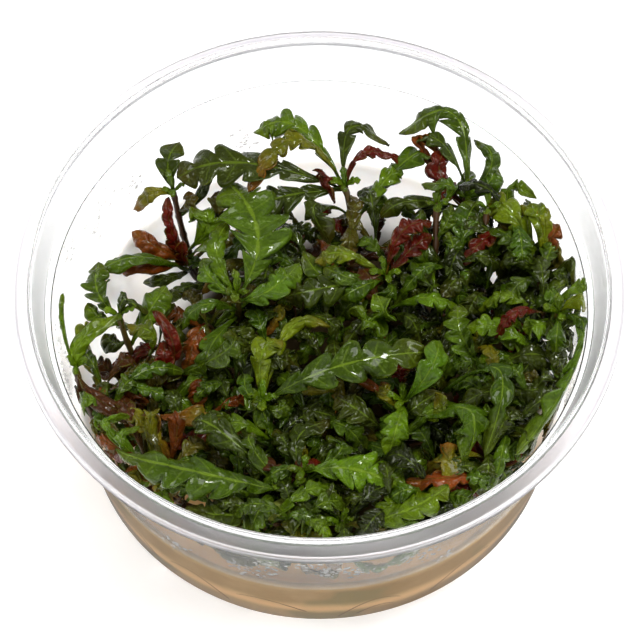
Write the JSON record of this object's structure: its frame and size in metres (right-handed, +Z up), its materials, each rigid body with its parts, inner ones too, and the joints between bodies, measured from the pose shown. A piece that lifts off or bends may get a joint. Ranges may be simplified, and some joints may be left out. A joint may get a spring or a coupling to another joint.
{
  "type": "hygrophila pinnatifida tissue culture cup",
  "caption": "Open clear round cup with jelly in its base, from which a dense clump of fern-leaved aquarium plants grows up to just below the rim.",
  "frame": {"origin": "centre of the flat underside of the cup's base", "axes": "+Z up along the cup's axis, -Y towards the viewer of the picture, +X to the viewer's right"},
  "size_m": [0.1164, 0.1164, 0.0547],
  "materials": {
    "cup": "clear",
    "gel": "cloudy jelly",
    "stem": "satin stem",
    "leaf_dark": "glossy veined leaf",
    "leaf_green": "glossy veined leaf",
    "leaf_bright": "glossy veined leaf",
    "leaf_yellow": "glossy veined leaf",
    "leaf_brown": "glossy veined leaf",
    "leaf_red": "glossy veined leaf"
  },
  "bodies": {
    "root": {"cup": "cup", "gel": "gel", "shoot_back_left": "stem", "leaf_back_left_arch": "leaf_green", "shoot_left": "stem", "leaf_left_feather": "leaf_green", "leaf_left_red": "leaf_red", "shoot_left_wall": "stem", "leaf_left_wall_brown": "leaf_brown", "leaf_left_wall_ruff": "leaf_bright", "shoot_lower_left": "stem", "leaf_lower_left_back": "leaf_yellow", "shoot_front_left": "stem", "leaf_front_left_long": "leaf_green", "leaf_front_left_low": "leaf_dark", "shoot_front": "stem", "leaf_front_feather": "leaf_bright", "shoot_front_bright": "stem", "leaf_front_bright_blade": "leaf_bright", "shoot_centre_left": "stem", "leaf_centre_left_feather": "leaf_green", "leaf_centre_left_right": "leaf_green", "leaf_centre_left_twist": "leaf_green", "shoot_centre": "stem", "leaf_centre_across": "leaf_green", "leaf_centre_curl": "leaf_yellow", "shoot_back_red": "stem", "leaf_back_red_sweep": "leaf_dark", "leaf_back_red_jagged": "leaf_bright", "leaf_back_red_orange": "leaf_yellow", "leaf_back_red_arch": "leaf_dark", "leaf_back_red_dark_fan": "leaf_dark", "leaf_back_red_round": "leaf_dark", "shoot_centre_back": "stem", "leaf_centre_back_level": "leaf_yellow", "leaf_centre_back_broad": "leaf_dark", "leaf_centre_back_red": "leaf_red", "shoot_right_back": "stem", "leaf_right_back_arch": "leaf_green", "leaf_right_back_rosette": "leaf_red", "shoot_mid": "stem", "leaf_mid_top": "leaf_green", "shoot_right": "stem", "leaf_right_right": "leaf_brown", "shoot_far_right": "stem", "leaf_far_right_broad": "leaf_yellow", "leaf_far_right_back": "leaf_dark", "shoot_right_top": "stem", "leaf_right_top_claw": "leaf_green", "leaf_right_top_great": "leaf_green", "shoot_right_mid": "stem", "leaf_right_mid_lying": "leaf_dark", "leaf_right_mid_blade": "leaf_green", "shoot_right_front": "stem", "leaf_right_front_veined": "leaf_dark", "shoot_middle": "stem", "leaf_middle_bright": "leaf_bright", "leaf_middle_light": "leaf_green", "leaf_middle_curled": "leaf_green", "leaf_middle_big_curl": "leaf_green"}
  },
  "joints": []
}
